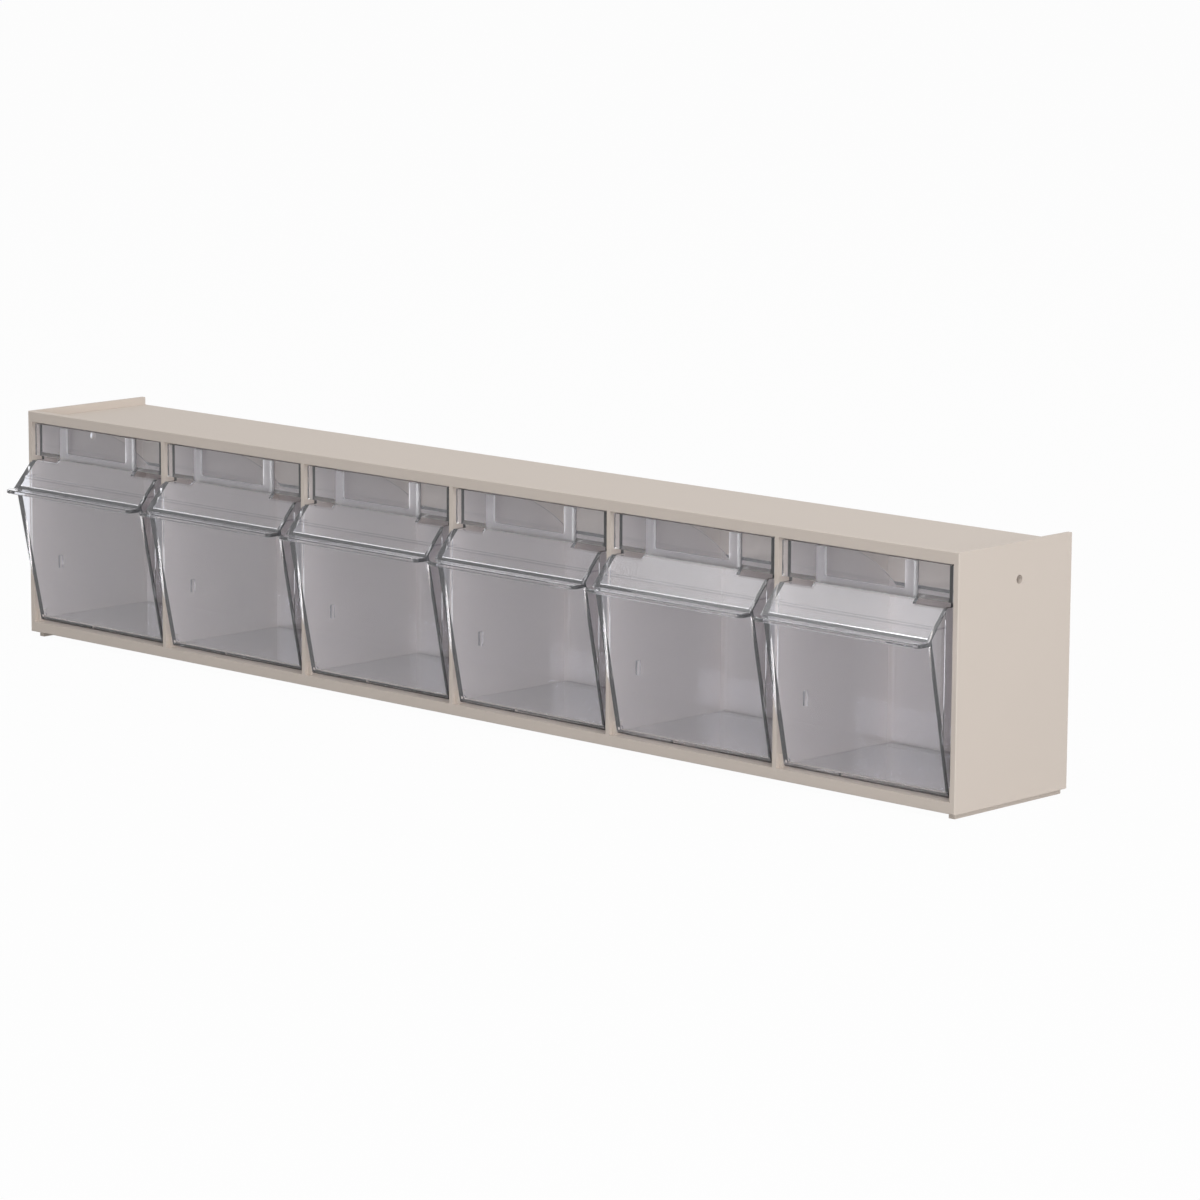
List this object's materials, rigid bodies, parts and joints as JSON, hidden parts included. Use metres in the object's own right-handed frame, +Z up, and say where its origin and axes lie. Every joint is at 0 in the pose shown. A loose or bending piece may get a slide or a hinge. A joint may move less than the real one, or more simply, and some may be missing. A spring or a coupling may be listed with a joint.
{
  "type": "tip-out bin cabinet",
  "caption": "Long low parts cabinet with a row of clear bins that tilt out at the top, each with a pull lip, sloped visor and label holder.",
  "frame": {"origin": "on the ground under the middle of the object's box, with the bins closed", "axes": "+X along the row of bins, to the right as seen from the front; +Y from the front to the back; +Z up"},
  "size_m": [0.6, 0.0952, 0.1143],
  "materials": {
    "frame_plastic": "fine satin, stone beige",
    "bin_plastic": "clear, slightly grey"
  },
  "bodies": {
    "cabinet": {"cabinet_frame": "frame_plastic"},
    "bin_1": {"tip_out_bin_1": "bin_plastic"},
    "bin_2": {"tip_out_bin_2": "bin_plastic"},
    "bin_3": {"tip_out_bin_3": "bin_plastic"},
    "bin_4": {"tip_out_bin_4": "bin_plastic"},
    "bin_5": {"tip_out_bin_5": "bin_plastic"},
    "bin_6": {"tip_out_bin_6": "bin_plastic"}
  },
  "joints": [
    {"name": "bin_1_tilt", "type": "hinge", "parent": "cabinet", "child": "bin_1", "pos_m": [-0.24867, -0.02292, 0.0111], "axis": [1, 0, 0], "range_deg": [0, 45]},
    {"name": "bin_2_tilt", "type": "hinge", "parent": "cabinet", "child": "bin_2", "pos_m": [-0.1492, -0.02292, 0.0111], "axis": [1, 0, 0], "range_deg": [0, 45]},
    {"name": "bin_3_tilt", "type": "hinge", "parent": "cabinet", "child": "bin_3", "pos_m": [-0.04973, -0.02292, 0.0111], "axis": [1, 0, 0], "range_deg": [0, 45]},
    {"name": "bin_4_tilt", "type": "hinge", "parent": "cabinet", "child": "bin_4", "pos_m": [0.04973, -0.02292, 0.0111], "axis": [1, 0, 0], "range_deg": [0, 45]},
    {"name": "bin_5_tilt", "type": "hinge", "parent": "cabinet", "child": "bin_5", "pos_m": [0.1492, -0.02292, 0.0111], "axis": [1, 0, 0], "range_deg": [0, 45]},
    {"name": "bin_6_tilt", "type": "hinge", "parent": "cabinet", "child": "bin_6", "pos_m": [0.24867, -0.02292, 0.0111], "axis": [1, 0, 0], "range_deg": [0, 45]}
  ]
}
